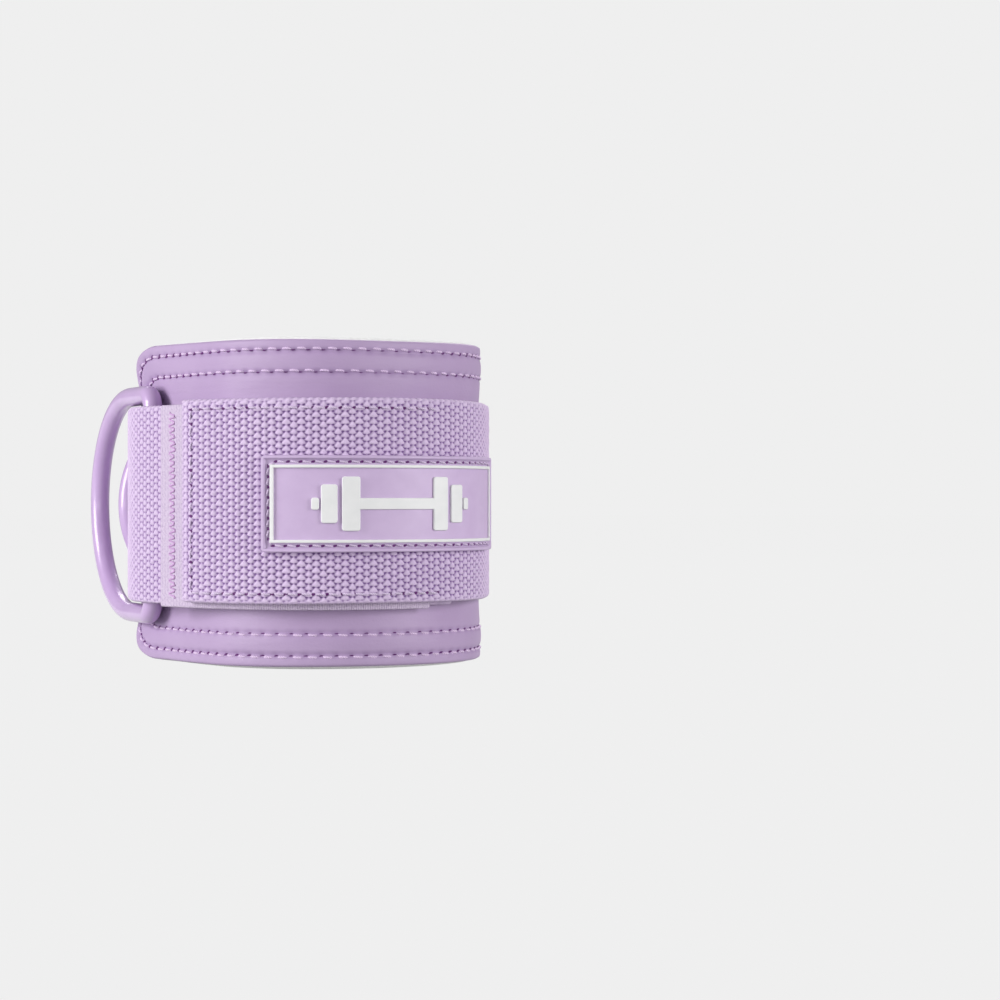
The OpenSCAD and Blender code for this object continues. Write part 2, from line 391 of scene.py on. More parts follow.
def hole_material():
    """The shaded inside of a needle hole."""
    n = Nodes("needle_hole", Roughness=0.7, Specular_IOR_Level=0.2)
    flat = n.attribute("flat").outputs["Vector"]
    color = n.ramp(n.noise(flat, 1.4), [(0.3, (0.085, 0.018, 0.11)), (0.7, (0.16, 0.045, 0.20))])
    return n.finish(color)


def ring_material():
    """Glossy coated steel, with a faint ripple in the coat."""
    n = Nodes(
        "coated_ring", Specular_IOR_Level=0.5, Coat_Weight=0.6, Coat_Roughness=0.13, Coat_IOR=1.5
    )
    flat = n.attribute("flat").outputs["Vector"]
    cloud = n.noise(flat, 0.12, 2.0)
    color = n.ramp(cloud, [(0.3, (0.51, 0.35, 0.615)), (0.7, (0.56, 0.395, 0.665))])
    peel = n.noise(flat, 0.55, 2.0, 0.4)
    roughness = n.math("ADD", n.math("MULTIPLY", n.noise(flat, 2.2, 4.0), 0.10), 0.28)
    return n.finish(color, n.bump(peel, 0.06, 0.0006), roughness)


def rubber_material(name, dark, light, roughness):
    """Moulded soft rubber: a very fine matt texture, a blotchy tone, and painted shade where the shade
    attribute is high.
    """
    n = Nodes(name, Specular_IOR_Level=0.4)
    flat = n.attribute("flat").outputs["Vector"]
    shade = n.attribute("shade").outputs["Fac"]
    base = n.ramp(n.noise(flat, 0.25, 3.0), [(0.3, dark), (0.7, light)])
    # Painted shade: darker where the shade attribute is high, in the label's stitch channel and at its
    # outer edge.
    color = n.mix(shade, base, rgb(*(0.55 * c for c in dark)))
    fine = n.noise(flat, 6.0, 3.0, 0.6)
    rough = n.math("ADD", n.math("MULTIPLY", fine, 0.12), roughness)
    return n.finish(color, n.bump(fine, 0.10, 0.00008), rough)


MATERIALS = {
    "cover": cover_material(),
    "foam": foam_material(),
    "lining": lining_material(),
    "webbing": webbing_material(),
    "loop": tape_material("loop_pile", hooked=False),
    "hook": tape_material("hook_rows", hooked=True),
    "edge_thread": thread_material("edge_thread", (0.82, 0.66, 0.87), (0.58, 0.40, 0.66)),
    "tape_thread": thread_material("tape_thread", (0.68, 0.43, 0.72), (0.50, 0.28, 0.58)),
    "strap_thread": thread_material("strap_thread", (0.78, 0.66, 0.84), (0.55, 0.42, 0.64)),
    "hole": hole_material(),
    "ring": ring_material(),
    "label": rubber_material("label_rubber", (0.565, 0.425, 0.655), (0.60, 0.46, 0.69), 0.38),
    "white": rubber_material("white_rubber", (0.78, 0.785, 0.79), (0.83, 0.83, 0.835), 0.40),
}

# ---------------------------------------------------------------- mesh building


class Mesh:
    """Vertices with two attributes, flat for texture places in millimetres and shade for the tone that the
    materials turn into painted shade.
    """

    def __init__(self):
        self.points, self.flats, self.shades, self.faces = [], [], [], []
        self.count = 0

    def grid(self, points, flats, shades):
        """Adds a grid of vertices and returns their numbers in the grid's shape."""
        shape = points.shape[:-1]
        size = int(np.prod(shape))
        self.points.append(points.reshape(-1, 3))
        self.flats.append(np.broadcast_to(flats, (*shape, 3)).reshape(-1, 3))
        self.shades.append(np.broadcast_to(shades, shape).reshape(-1))
        numbers = np.arange(self.count, self.count + size).reshape(shape)
        self.count += size
        return numbers

    def quads(self, numbers, flip=False):
        a, b, c, d = numbers[:-1, :-1], numbers[1:, :-1], numbers[1:, 1:], numbers[:-1, 1:]
        order = (a, d, c, b) if flip else (a, b, c, d)
        self.faces.extend(np.stack(order, -1).reshape(-1, 4).tolist())

    def strip(self, one, two):
        """Quads between two rows of vertex numbers."""
        self.quads(np.stack([one, two], 0))

    def make(self, name, material, body, nodes=(), slot=None, smooth_shading=True):
        """The piece itself, riding on its body and standing for its nodes."""
        data = bpy.data.meshes.new(name)
        data.from_pydata(np.concatenate(self.points).tolist(), [], self.faces)
        flat = data.attributes.new("flat", "FLOAT_VECTOR", "POINT")
        flat.data.foreach_set("vector", np.concatenate(self.flats).astype(np.float32).ravel())
        shade = data.attributes.new("shade", "FLOAT", "POINT")
        shade.data.foreach_set("value", np.concatenate(self.shades).astype(np.float32))
        data.materials.append(MATERIALS[material])
        work = bmesh.new()
        work.from_mesh(data)
        bmesh.ops.recalc_face_normals(work, faces=work.faces)
        work.to_mesh(data)
        work.free()
        if smooth_shading:
            data.shade_smooth()
        piece = bpy.data.objects.new(name, data)
        bpy.context.scene.collection.objects.link(piece)
        if nodes:
            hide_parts(*nodes)
        if body:
            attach(piece, body)
        return piece


def samples(start, end, pace, fine=0.0, fine_length=0.0):
    """Places from start to end, closer together near both ends when fine is given."""
    if not fine:
        return np.linspace(start, end, max(2, math.ceil((end - start) / pace) + 1))
    first = np.linspace(start, start + fine_length, math.ceil(fine_length / fine) + 1)
    last = end - (first[::-1] - start)
    middle = np.linspace(first[-1], last[0], max(2, math.ceil((last[0] - first[-1]) / pace) + 1))
    return np.concatenate([first, middle[1:-1], last])


def edge_distance(s, z, s0, s1, z0, z1, corner):
    """How far inside a rectangle with round corners a point lies."""
    dx = np.abs(s - (s0 + s1) / 2) - (s1 - s0) / 2 + corner
    dz = np.abs(z - (z0 + z1) / 2) - (z1 - z0) / 2 + corner
    outside = np.hypot(np.maximum(dx, 0), np.maximum(dz, 0))
    return corner - outside - np.minimum(np.maximum(dx, dz), 0)


def corner_inset(s, s0, s1, corner):
    """How far a round corner cuts into the height at each s."""
    near = np.maximum(corner - np.minimum(s - s0, s1 - s), 0)
    return corner - np.sqrt(np.maximum(corner**2 - near**2, 0))


def rounded(distance, radius):
    """How far the face drops near its edge, as a quarter round."""
    near = 1 - np.clip(distance / radius, 0, 1)
    return radius * (1 - np.sqrt(np.maximum(1 - near**2, 0)))


def slab(
    mesh, box, low, high, corner=0.5, edge=0.3, pace=(1.0, 1.0), fine=(0.25, 2.0), relief=None, flare=None
):
    """A closed sheet on the cuff with round corners and edges. box is (s0, s1, z0, z1)."""
    s0, s1, z0, z1 = box
    s = samples(s0, s1, pace[0], fine[0], min(fine[1], (s1 - s0) / 2.01))
    t = samples(0, z1 - z0, pace[1], fine[0], min(fine[1], (z1 - z0) / 2.01)) / (z1 - z0)
    inset = corner_inset(s, s0, s1, corner)[:, None]
    z = z0 + inset + t[None, :] * (z1 - z0 - 2 * inset)
    s_grid = np.broadcast_to(s[:, None], z.shape)
    lean, shift = flare(s_grid, z) if flare else (0.0, 0.0)
    inside = edge_distance(s_grid, z, s0, s1, z0, z1, corner)
    drop = rounded(inside, edge)
    top, tone = high(s_grid) - drop, np.zeros(z.shape)
    if relief:
        rise, tone = relief(s_grid, z, inside)
        top = top + rise
    bottom = np.minimum(low(s_grid) + np.minimum(drop, edge * 0.7), top - 0.02)
    flats = np.stack([s_grid, z, np.zeros(z.shape)], -1)
    outer = mesh.grid(place(s_grid, top + lean, z + shift), flats, tone)
    inner = mesh.grid(place(s_grid, bottom + lean, z + shift), flats + [0, 0, 5], tone)
    mesh.quads(outer)
    mesh.quads(inner, flip=True)
    for one, two in ((outer, inner), (outer[::-1], inner[::-1])):
        mesh.strip(two[0], one[0])
    mesh.strip(outer[:, 0], inner[:, 0])
    mesh.strip(inner[:, -1], outer[:, -1])


def steady(value):
    """A height that is the same at every s."""
    return lambda s: np.full(np.shape(s), float(value))


# ---------------------------------------------------------------- threads


def outline(s0, s1, z0, z1, corner, pitch):
    """Evenly spaced points round a rectangle with round corners."""
    sides = []
    for cs, cz, start in (
        (s1 - corner, z0 + corner, -90),
        (s1 - corner, z1 - corner, 0),
        (s0 + corner, z1 - corner, 90),
        (s0 + corner, z0 + corner, 180),
    ):
        angles = np.radians(np.linspace(start, start + 90, 24))
        sides.append(np.stack([cs + corner * np.cos(angles), cz + corner * np.sin(angles)], 1))
    path = np.concatenate(sides + [sides[0][:1]])
    return along_path(path, pitch)


def along_path(path, pitch):
    """Points along a path, as near to the pitch as divides it evenly."""
    lengths = np.concatenate([[0], np.cumsum(np.hypot(*np.diff(path, axis=0).T))])
    count = max(2, round(lengths[-1] / pitch))
    at = np.linspace(0, lengths[-1], count + 1)
    return np.stack([np.interp(at, lengths, path[:, k]) for k in (0, 1)], 1)


def tube(mesh, s, h, z, radius, sides=6):
    """A thread along a list of places, closed at both ends."""
    centre = place(s, h, z)
    step = np.gradient(centre, axis=0)
    step /= np.linalg.norm(step, axis=1)[:, None]
    _, _, nx, ny = locate(s)
    up = np.stack([nx, ny, np.zeros(len(s))], 1)
    side = np.cross(step, up)
    side /= np.linalg.norm(side, axis=1)[:, None]
    up = np.cross(side, step)
    angles = np.linspace(0, 2 * math.pi, sides, endpoint=False)
    ring = np.cos(angles)[None, :, None] * side[:, None] + np.sin(angles)[None, :, None] * up[:, None]
    radii = np.broadcast_to(radius, (len(s),))[:, None, None] * MM
    lengths = np.concatenate([[0], np.cumsum(np.linalg.norm(np.diff(centre, axis=0), axis=1))]) / MM
    flats = np.zeros((len(s), sides, 3))
    flats[..., 0] = s[0] + lengths[:, None]
    flats[..., 1] = angles[None, :] * 0.3
    numbers = mesh.grid(centre[:, None] + ring * radii, flats, 0.0)
    mesh.quads(np.concatenate([numbers, numbers[:, :1]], 1), flip=True)
    mesh.faces.append(numbers[0].tolist())
    mesh.faces.append(numbers[-1][::-1].tolist())


def stitches(mesh, path, surface, radius=0.33, slant=0.10, high=0.30, reach=0.5):
    """One thread arch for each step of the path, from needle hole to needle hole."""
    for (sa, za), (sb, zb) in zip(path[:-1], path[1:]):
        u = np.linspace(0, 1, 9)
        length = math.hypot(sb - sa, zb - za)
        ds, dz = (sb - sa) / length, (zb - za) / length
        side = slant * (1 - 2 * u) + rng.uniform(-0.03, 0.03)
        trim = 0.14 + 0.72 * u
        s = sa + (sb - sa) * trim - dz * side
        z = za + (zb - za) * trim + ds * side
        from_middle = np.abs(2 * u - 1)
        arch = high * (1 - from_middle**3) - reach * from_middle**4
        height = surface(s, z) + arch + rng.uniform(-0.02, 0.02)
        tube(mesh, s, height, z, radius * (1 - 0.35 * from_middle**3))


def holes(mesh, path, surface, radius=(0.85, 0.46), lift=0.05, tilt=30):
    """A shallow dark dish of painted shade at each needle hole, longer along the seam and slanted across
    it.
    """
    directions = np.gradient(path, axis=0)
    angles = np.linspace(0, 2 * math.pi, 10, endpoint=False)
    for (s, z), (ds, dz) in zip(path, directions):
        slant = math.atan2(dz, ds) + math.radians(tilt)
        ds, dz = math.cos(slant), math.sin(slant)
        a, b = radius[0] * np.cos(angles), radius[1] * np.sin(angles)
        rim_s, rim_z = s + ds * a - dz * b, z + dz * a + ds * b
        rim = mesh.grid(
            place(rim_s, surface(rim_s, rim_z) + lift, rim_z),
            np.stack([rim_s, rim_z, np.zeros(10)], 1),
            0.0,
        )
        root = mesh.grid(
            place(rim_s, surface(rim_s, rim_z) - 0.15, rim_z),
            np.stack([rim_s, rim_z, np.ones(10)], 1),
            0.0,
        )
        mesh.faces.append(rim.tolist())
        mesh.faces.append(root[::-1].tolist())
        closed = np.concatenate([np.stack([rim, root]), np.stack([rim, root])[:, :1]], 1)
        mesh.quads(closed, flip=True)


# ---------------------------------------------------------------- the pad

PITCH = 3.75
EDGE_GAP = 0.2
PAD_BOX = (EDGE_GAP, PAD_LENGTH - EDGE_GAP, EDGE_GAP, PAD_H - EDGE_GAP)
COVER_EDGE = 0.55
FOAM_EDGE = 1.1
LINING_EDGE = 0.25
FOAM_PROUD = 0.1
FLARE = 3.2
FLARE_FROM = 27.5
FLARE_RISE = 13
FLARE_HOLD = 5
FLARE_FADE = 26
SQUEEZE = 0.65
SQUEEZE_REACH = 8
DENT = 0.2
DENT_SPREAD = 0.7
SHORT_MOST = 0.40
SHORT_LEAST = 0.10
SHORT_MIDDLE = 88
SHORT_REACH = 38
FOAM_TOP = -COVER_T - LAYER_GAP
FOAM_LOW = FOAM_TOP - FOAM_T
LINING_TOP = FOAM_LOW - LAYER_GAP


def pad_row(inset):
    """Needle places round the pad at one distance from its edge."""
    return outline(inset, PAD_LENGTH - inset, inset, PAD_H - inset, CORNER_R - inset, PITCH)


ROWS = [pad_row(OUTER_ROW), pad_row(INNER_ROW)]
HOLE_POINTS = np.concatenate([row[:-1] for row in ROWS])


def dimples(s, z):
    """Depth of the dents that the needle holes pull into the cover."""
    s, z = np.asarray(s, float), np.asarray(z, float)
    depth = np.zeros(s.shape)
    for hole_s, hole_z in HOLE_POINTS:
        near = (s - hole_s) ** 2 + (z - hole_z) ** 2
        depth = np.maximum(depth, np.exp(-near / DENT_SPREAD))
    return depth


def sway(s, z):
    """Slow unevenness of a soft sheet."""
    return 0.10 * np.sin(s / 17 + 1) + 0.07 * np.sin(s / 7.3 + z / 31) + 0.05 * np.sin(z / 9 + s / 23)


def cover_relief(s, z, inside):
    """The soft sheet between its seams, and the tone of painted shade in the seams' grooves, the needle
    dents and along the rounded edge.
    """
    grooves = np.exp(-(((inside - OUTER_ROW) / 0.6) ** 2)) + np.exp(-(((inside - INNER_ROW) / 0.65) ** 2))
    between = np.clip((inside - OUTER_ROW) / (INNER_ROW - OUTER_ROW), 0, 1)
    puff = 0.28 * np.sin(math.pi * between) ** 0.8
    border = 0.14 * np.sin(math.pi * np.clip(inside / OUTER_ROW, 0, 1))
    field = 0.26 * smooth((inside - INNER_ROW) / 6)
    dents = dimples(s, z)
    beside = np.abs(z - (STRAP_LOW + STRAP_HIGH) / 2) - (STRAP_HIGH - STRAP_LOW) / 2
    squeeze = -SQUEEZE * (1 - smooth(beside / SQUEEZE_REACH))
    rise = puff + border + field + squeeze - 0.24 * grooves - DENT * dents + sway(s, z) * smooth(inside / 6)
    # Painted shade: darker in the grooves, in the needle dents and where the face rounds off at its edge.
    tone = np.clip(0.16 * grooves + 0.40 * dents + 0.25 * rounded(inside, 0.5) / 0.5, 0, 1)
    return rise - 0.1, tone


def cover_surface(s, z):
    """Height of the cover's face, where its threads lie."""
    inside = edge_distance(s, z, 0, PAD_LENGTH, 0, PAD_H, CORNER_R)
    return cover_relief(s, z, inside)[0] + corner_flare(s, z)


def corner_flare(s, z):
    """How far end one's corners stand out, where the strap doesn't press on the pad."""
    beyond = np.abs(z - PAD_H / 2) - FLARE_FROM
    return FLARE * smooth(beyond / FLARE_RISE) * (1 - smooth((s - FLARE_HOLD) / FLARE_FADE))


def wavy_edge(s, z):
    """The pad's corners stand out, and its top edge rises and falls a little."""
    wave = 0.16 * np.sin(s / 21 + 0.6) + 0.10 * np.sin(s / 9.5)
    return corner_flare(s, z), wave * (z / PAD_H)


def skimped_edge(s, z):
    """The cover is cut a little short of the foam along both edges in front."""
    short = SHORT_MOST * np.exp(-(((s - SHORT_MIDDLE) / SHORT_REACH) ** 2)) + SHORT_LEAST
    lean, shift = wavy_edge(s, z)
    return lean, shift + short * (1 - 2 * z / PAD_H)


def build_pad():
    cover = Mesh()
    low, top = steady(-COVER_T), steady(0)
    pace, fine = (0.8, 1.6), (0.36, 12)
    slab(cover, PAD_BOX, low, top, CORNER_R, COVER_EDGE, pace, fine, cover_relief, skimped_edge)
    cover.make("pad_cover", "cover", "cuff", ["outer_cover"], "cover")

    foam = Mesh()
    box = (-FOAM_PROUD, PAD_LENGTH + FOAM_PROUD, 0.0, PAD_H)
    low, top = steady(FOAM_LOW), steady(FOAM_TOP)
    slab(foam, box, low, top, CORNER_R, FOAM_EDGE, (1.5, 2.0), (0.3, 3), None, wavy_edge)
    foam.make("pad_foam", "foam", "cuff", ["foam_core"], "foam")

    lining = Mesh()
    low, top = steady(LINING_TOP - LINING_T), steady(LINING_TOP)
    slab(lining, PAD_BOX, low, top, CORNER_R, LINING_EDGE, (1.5, 2.0), (0.3, 2), None, wavy_edge)
    lining.make("pad_lining", "lining", "cuff", ["inner_lining"], "lining")


def build_edge_stitches():
    for name, row in zip(("outer", "inner"), ROWS):
        thread = Mesh()
        stitches(thread, row, cover_surface)
        thread.make(f"edge_thread_{name}", "edge_thread", "cuff", [f"edge_stitch_{name}"], "thread")
        eyes = Mesh()
        holes(eyes, row[:-1], cover_surface)
        eyes.make(f"edge_holes_{name}", "hole", "cuff", (), "thread", smooth_shading=False)


# ---------------------------------------------------------------- the webbing

# One yarn stands in each cell, and every other column of cells is staggered. A yarn's reach is a
# share of its cell, with a wide and a narrow column in turn.
CELL_S = 1.54
CELL_Z = 1.64
STAGGER = 0.5
YARN_S = (0.84, 0.66)
YARN_Z = 0.70
YARN_POINT = 1.25
YARN_ROOF = 0.38
RELIEF = 0.80
SEAM = PEEL_LINE + 5 * CELL_S
BEND = 8.0
SEWN = 0.3
SEWN_WIDTH = 0.6
FUSED_LENGTH = 1.9
FUSED_FADE = 0.8


def weave(s, z):
    """The webbing's surface from 0 in the gaps to 1 on the yarns: columns of staggered pointed yarns."""
    u = s / CELL_S
    v = z / CELL_Z
    height = np.zeros(np.broadcast(u, v).shape)
    for column in (np.floor(u), np.floor(u) + 1):
        row = v - STAGGER * np.mod(column, 2)
        across = np.abs(u - column) / np.where(np.mod(column, 2) < 1, *YARN_S)
        along = row - np.round(row)
        along = np.abs(along + YARN_ROOF * np.abs(u - column)) / YARN_Z
        reach = (across**YARN_POINT + along**YARN_POINT) ** (1 / YARN_POINT)
        jitter = 1 + 0.10 * np.sin(1.7 * column + 2.9 * np.round(row))
        height = np.maximum(height, jitter * np.maximum(1 - reach**2.2, 0) ** 0.6)
    return np.minimum(height, 1)


def unpressed(s, z):
    """Webbing that is neither sewn down nor fused at a cut end."""
    return 0.0, 0.0


def web_relief(low, high, pressed):
    """The relief of one stretch of webbing between two levels, with its selvedges, and its tone for the
    painted shade in the gaps.
    """

    def relief(s, z):
        inside = np.minimum(z - low, high - z)
        height = weave(s, z - low)
        selvedge = smooth(inside / 1.5)
        cord = 0.5 + 0.5 * np.sin(2 * math.pi * s / CELL_S)
        height = height * selvedge + (0.70 + 0.22 * cord) * (1 - selvedge)
        sewn, fused = pressed(s, z)
        rise = RELIEF * (height - 1) * (1 - 0.55 * sewn - 0.35 * fused) - 0.35 * sewn - 0.25 * fused
        # The tone follows the weave's height for painted shade in the gaps; it is darker along a sewn line
        # as painted shade, and has less painted shade where the end is fused flat.
        tone = height + (1 - height) * 0.35 * fused - 0.25 * sewn
        return rise - rounded(inside, 0.9) * 0.8, np.clip(tone, 0, 1)

    return relief


def webbing(name, s_places, low_height, high_height, levels, pressed, body, nodes, woven_back=False):
    """A closed strip of webbing with its weave on the outer face."""
    z0, z1 = levels
    z = samples(z0, z1, CELL_Z / 6)
    s_grid, z_grid = np.meshgrid(s_places, z, indexing="ij")
    rise, tone = web_relief(z0, z1, pressed)(s_grid, z_grid)
    waver = 0.12 * np.sin(s_grid / 13) + 0.08 * np.sin(2 * math.pi * s_grid / CELL_S) * (
        smooth(1 - np.minimum(z_grid - z0, z1 - z_grid) / 2)
    )
    flats = np.stack([s_grid, z_grid, np.zeros(z_grid.shape)], -1)
    mesh = Mesh()
    outer = mesh.grid(place(s_grid, high_height(s_grid) + rise, z_grid + waver), flats, tone)
    mesh.quads(outer)
    back_z = z if woven_back else np.array([z0 + 0.5, z0 + 2, (z0 + z1) / 2, z1 - 2, z1 - 0.5])
    s_back, z_back = np.meshgrid(s_places, back_z, indexing="ij")
    back = low_height(s_back)
    back_tone = 0.7
    if woven_back:
        back_rise, back_tone = web_relief(z0, z1, unpressed)(s_back, z_back + CELL_Z / 2)
        back = back - 0.5 * back_rise
        back_waver = waver
    else:
        back_waver = 0.0
    back_flats = np.stack([s_back, z_back, np.full(z_back.shape, 3.0)], -1)
    inner = mesh.grid(place(s_back, back, z_back + back_waver), back_flats, back_tone)
    mesh.quads(inner, flip=True)
    mesh.strip(outer[:, 0], inner[:, 0])
    mesh.strip(inner[:, -1], outer[:, -1])
    for k in (0, -1):
        ring = outer[k].tolist() + inner[k][::-1].tolist()
        mesh.faces.append(ring if k else ring[::-1])
    return mesh.make(name, "webbing", body, nodes, "webbing")


def build_webbing():
    fine = CELL_S / 6
    hidden = samples(LOOP_END + 3, STRAP_START, 2.0)
    shown = samples(SEAM - LOOP_LENGTH, LOOP_END + 3, fine)
    places = np.concatenate([shown, hidden[1:]])
    levels = (STRAP_LOW, STRAP_HIGH)
    webbing("webbing_wrap", places, wrap_low, wrap_top, levels, unpressed, "cuff", ["strap_wrap"])

    def pressed(s, z):
        sewn = SEWN * np.exp(-(((s - TAIL_END - HEM) / SEWN_WIDTH) ** 2))
        return sewn, smooth((TAIL_END + FUSED_LENGTH - s) / FUSED_FADE)

    tail = samples(TAIL_END, SEAM, fine)
    levels = (TAIL_LOW, TAIL_HIGH)
    piece = webbing("webbing_tail", tail, tail_low, tail_top, levels, pressed, None, ["strap_tail"], True)
    start, end = (place(PEEL_LINE + way * BEND, STRAP_T, LABEL_MID) for way in (1, -1))
    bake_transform(piece)


# ---------------------------------------------------------------- tapes and strap stitching

HEM = 3.0
HEM_MARGIN = 2.4
TAIL_PITCH = 2.9
HOOK_IN = 2
ZIGZAG_IN = 4.4
ZIGZAG_MARGIN = 1.6
ZIGZAG_STEP = 0.42
ZIGZAG_SWING = 0.85
ZIGZAG_STRAY = 0.3
ANCHOR_IN = 2
ANCHOR_LENGTH = 5
ANCHOR_MARGIN = 4


def loop_low(s):
    return wrap_top(s) + LAYER_GAP


def loop_top(s):
    return loop_low(s) + TAPE_T


def hook_top(s):
    return tail_low(s) - LAYER_GAP


def hook_low(s):
    return hook_top(s) - TAPE_T


def pile_relief(s, z, inside):
    """The loops' slightly uneven nap."""
    return 0.05 * np.sin(s * 5.1 + 3 * np.sin(z * 2.3)) - 0.05, np.zeros(s.shape)


def build_tapes():
    loop = Mesh()
    box = (LOOP_END, TAPE_START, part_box("loop_tape")[0].z / MM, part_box("loop_tape")[1].z / MM)
    slab(loop, box, loop_low, loop_top, 0.6, 0.3, (0.5, 0.5), (0.2, 1), pile_relief)
    loop.make("loop_pile", "loop", "cuff", ["loop_tape"], "tape")
    hook = Mesh()
    box = (TAIL_END + HOOK_IN, TAPE_START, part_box("hook_tape")[0].z / MM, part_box("hook_tape")[1].z / MM)
    slab(hook, box, hook_low, hook_top, 0.6, 0.25, (1.2, 1.2), (0.25, 1))
    hook.make("hook_rows", "hook", "tail", ["hook_tape"], "tape")


def build_zigzag():
    zigzag = Mesh()
    z = np.arange(STRAP_LOW + ZIGZAG_MARGIN, STRAP_HIGH - ZIGZAG_MARGIN, ZIGZAG_STEP)
    swing = np.where(np.arange(len(z)) % 4 < 2, ZIGZAG_SWING, -ZIGZAG_SWING)
    swing = swing + [rng.uniform(-ZIGZAG_STRAY, ZIGZAG_STRAY) for _ in z]
    s = LOOP_END + ZIGZAG_IN + swing
    tube(zigzag, s, loop_top(s) - 0.08 + 0.08 * np.cos(np.arange(len(z)) * math.pi / 2), z, 0.28)
    zigzag.make("tape_zigzag", "tape_thread", "cuff", ["loop_tape_stitch"], "thread")


def hem_surface(s, z):
    """Where the tail's threads start, a little down in the weave."""
    return tail_top(s) - 0.22


def build_hem_stitches():
    line, low, high = TAIL_END + HEM, TAIL_LOW + HEM_MARGIN, TAIL_HIGH - HEM_MARGIN
    runs = [
        (along_path(np.array([[TAPE_START, low], [line, low]]), TAIL_PITCH), 0.42),
        (along_path(np.array([[line, low], [line, high]]), PITCH), 0.08),
        (along_path(np.array([[line, high], [TAPE_START, high]]), TAIL_PITCH), 0.42),
    ]
    thread, eyes = Mesh(), Mesh()
    for run, high in runs:
        stitches(thread, run, hem_surface, radius=0.28, slant=0.12, high=high)
        holes(eyes, run, hem_surface, radius=(0.45, 0.34), lift=0.02)
    thread.make("tail_thread", "strap_thread", "tail", ["tail_stitch"], "thread")
    eyes.make("tail_holes", "hole", "tail", (), "thread", smooth_shading=False)


def build_anchor_stitches():
    end = STRAP_START - ANCHOR_IN
    box = (end - ANCHOR_LENGTH, end, STRAP_LOW + ANCHOR_MARGIN, STRAP_HIGH - ANCHOR_MARGIN)
    anchor = Mesh()
    stitches(anchor, outline(*box, 0.5, PITCH), lambda s, z: wrap_top(s) - 0.1)
    anchor.make("anchor_thread", "strap_thread", "cuff", ["anchor_stitch"], "thread")


# ---------------------------------------------------------------- the D-rings

WIRE_SIDES = 28


def ring_path():
    """The wire's centre line from the middle of the bar: out along one leg, round, and back."""
    r = (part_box("d_ring_front")[1].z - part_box("d_ring_front")[0].z) / MM / 2 - WIRE_D / 2
    leg = RING_DEPTH - r
    half = [np.stack([np.zeros(12), np.linspace(0, r - BAR_BEND, 12)], 1)]
    bend = np.radians(np.linspace(180, 90, 16))[1:]
    half.append(np.stack([BAR_BEND + BAR_BEND * np.cos(bend), r - BAR_BEND + BAR_BEND * np.sin(bend)], 1))
    run = np.linspace(BAR_BEND, leg, 10)[1:]
    half.append(np.stack([run, np.full(len(run), r)], 1))
    bow = np.radians(np.linspace(90, 0, 60))[1:]
    half.append(np.stack([leg + r * np.cos(bow), r * np.sin(bow)], 1))
    half = np.concatenate(half)
    return np.concatenate([half, (half * [1, -1])[-2:0:-1]])


def build_ring(name, bar, angle, body, node):
    """A round wire along ring_path, on its bar and pointing at an angle in plan."""
    path = ring_path()
    step = np.roll(path, -1, 0) - np.roll(path, 1, 0)
    step /= np.hypot(*step.T)[:, None]
    normal = np.stack([step[:, 1], -step[:, 0]], 1)
    angles = np.linspace(0, 2 * math.pi, WIRE_SIDES, endpoint=False)
    radius = WIRE_D / 2
    x = path[:, :1] + normal[:, :1] * radius * np.cos(angles)
    z = path[:, 1:] + normal[:, 1:] * radius * np.cos(angles)
    y = np.broadcast_to(radius * np.sin(angles), x.shape)
    s, h = np.array([float(bar)]), np.array([BAR_HEIGHT])
    centre = place(s, h, (STRAP_LOW + STRAP_HIGH) / 2)[0]
    c, d = math.cos(math.radians(angle)), math.sin(math.radians(angle))
    points = np.stack([x * c - y * d, x * d + y * c, z], -1) * MM + centre
    lengths = np.concatenate([[0], np.cumsum(np.hypot(*np.diff(path, axis=0).T))])
    flats = np.stack(np.broadcast_arrays(lengths[:, None], angles[None, :] * radius, bar), -1)
    mesh = Mesh()
    numbers = mesh.grid(points, flats, 0.0)
    numbers = np.concatenate([numbers, numbers[:1]], 0)
    mesh.quads(np.concatenate([numbers, numbers[:, :1]], 1))
    mesh.make(name, "ring", body, [node], "ring")


# ---------------------------------------------------------------- the label

RIM = 0.9
FRAME_INSET = (1.9, 2.3)
FRAME_W = 0.75
LABEL_THREAD_INSET = (1.4, 1.6)
LABEL_PITCH = 2.5
LABEL_THREAD_DEPTH = 0.12
# The dumbbell: for each disc or collar its distance from the middle, half width and half height.
EMBLEM_MIDDLE = 97.5
EMBLEM = [(10.2, 1.9, 6.6), (14.7, 1.7, 4.7), (17.6, 0.8, 1.5)]
EMBLEM_CORNER = 0.6
HANDLE_HALF = 1.4
HANDLE_OVERLAP = 0.3
HANDLE_CORNER = 0.3


def plate_relief(s, z, inside):
    """Raised round rim, stitch channel and flat face, with a tone of painted shade in the channel and at
    the outer edge.
    """
    rim = RELIEF_T * smooth(inside / 0.25 + 0.3) * smooth((RIM + 0.15 - inside) / 0.35)
    channel = -0.18 * np.exp(-(((inside - 1.55) / 0.42) ** 2))
    # Painted shade in the stitch channel and along the plate's outer edge.
    tone = 0.40 * np.exp(-(((inside - 1.5) / 0.5) ** 2)) + 0.25 * np.exp(-(((inside - 0.05) / 0.2) ** 2))
    return rim + channel, tone


def label_surface(s, z):
    """Where the label's threads start, down in the stitch channel."""
    return plate_top(s) - LABEL_THREAD_DEPTH


def rectangle(s0, s1, z0, z1, pitch):
    """Points round a rectangle with sharp corners, each side cut into short steps."""
    corners = np.array([(s0, z0), (s1, z0), (s1, z1), (s0, z1)], float)
    sides = []
    for start, end in zip(corners, np.roll(corners, -1, 0)):
        count = math.ceil(np.hypot(*(end - start)) / pitch)
        sides.append(start + (end - start) * np.arange(count)[:, None] / count)
    return np.concatenate(sides)


